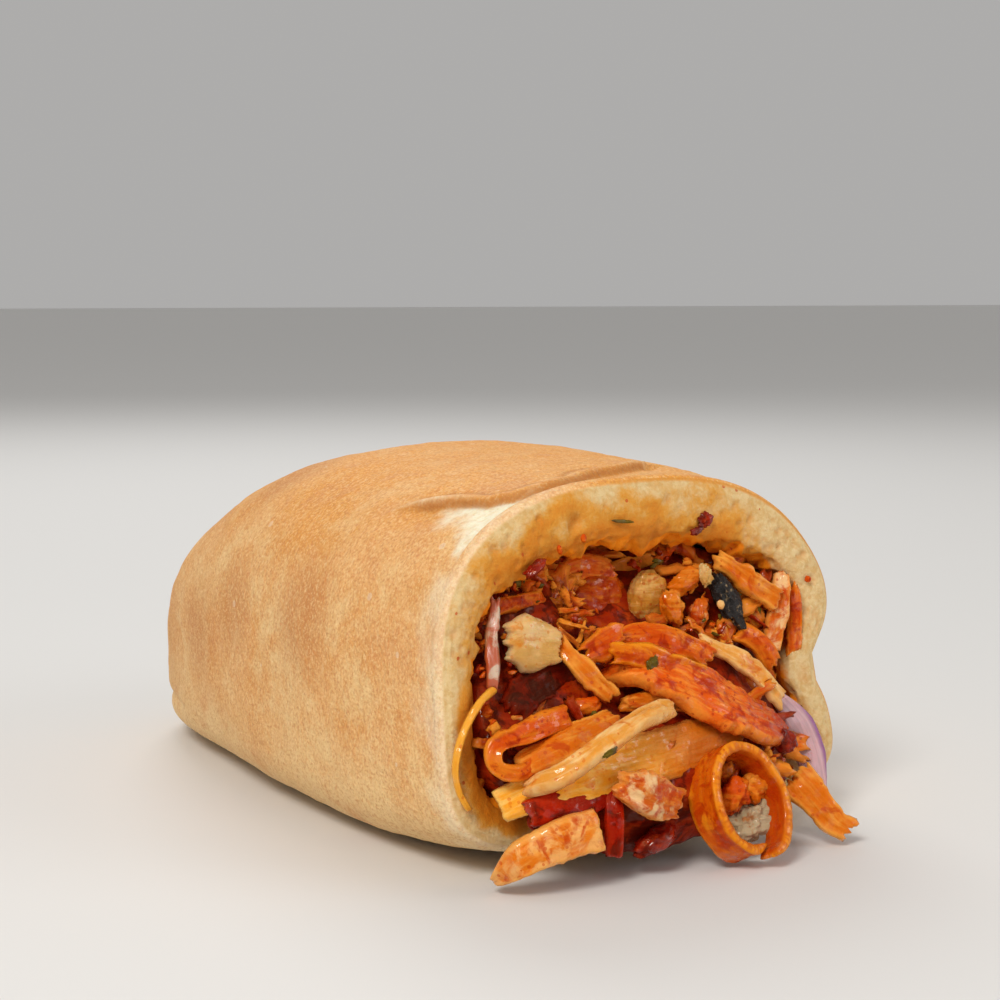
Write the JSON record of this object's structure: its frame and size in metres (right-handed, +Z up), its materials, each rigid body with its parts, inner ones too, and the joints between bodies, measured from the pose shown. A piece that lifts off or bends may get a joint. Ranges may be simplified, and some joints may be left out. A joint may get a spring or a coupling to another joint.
{
  "type": "doner kebab sandwich",
  "caption": "Half of a soft oval loaf, cut open at one end and packed with sauced doner strips, onion and pepper that spill over the lower lip.",
  "frame": {"origin": "on the loaf's flat base, in the middle of its width, 70 mm behind the plane of the cut mouth", "axes": "+Z up; the cut mouth faces -Y and the closed end of the loaf points along +Y; +X is to the right of somebody who looks into the mouth"},
  "size_m": [0.109, 0.1885, 0.071],
  "materials": {
    "bread": "matt golden crust with a pale porous crumb at the cut",
    "sauced_filling": "wet, dark red sauce",
    "doner_meat": "moist, orange sauce over browned fibres",
    "browned_meat": "moist and browned",
    "pale_meat": "moist and pale, sauce in patches",
    "pepper": "wet deep red",
    "onion": "moist, pale and slightly see-through, with a purple skin edge",
    "charred_bit": "charred black with a pale fleck"
  },
  "bodies": {
    "root": {"loaf": "bread", "filling_heap": "sauced_filling", "curled_strip": "doner_meat", "front_strip": "doner_meat", "tail_strip": "doner_meat", "white_chunk": "pale_meat", "pale_strip": "pale_meat", "slab_right": "browned_meat", "long_strip": "doner_meat", "folded_strip": "doner_meat", "back_strip": "doner_meat", "pepper_bar": "pepper", "pepper_sheet": "pepper", "bottom_bit": "doner_meat", "curl_filling": "onion", "onion_slice": "onion", "upper_slab": "doner_meat", "char_bit": "charred_bit", "top_bar": "doner_meat", "right_shred": "doner_meat", "low_shred": "doner_meat", "pale_chunk": "pale_meat", "middle_strip": "doner_meat", "left_strip": "doner_meat", "small_strip": "doner_meat", "left_onion": "onion", "dark_slab": "pepper", "centre_bit": "doner_meat", "mid_bit_left": "doner_meat", "mid_bit_right": "doner_meat", "top_bit": "doner_meat", "upper_bit_left": "doner_meat", "upper_bit_right": "doner_meat", "white_onion": "onion", "back_meat": "browned_meat", "thin_strand": "doner_meat"}
  },
  "joints": []
}
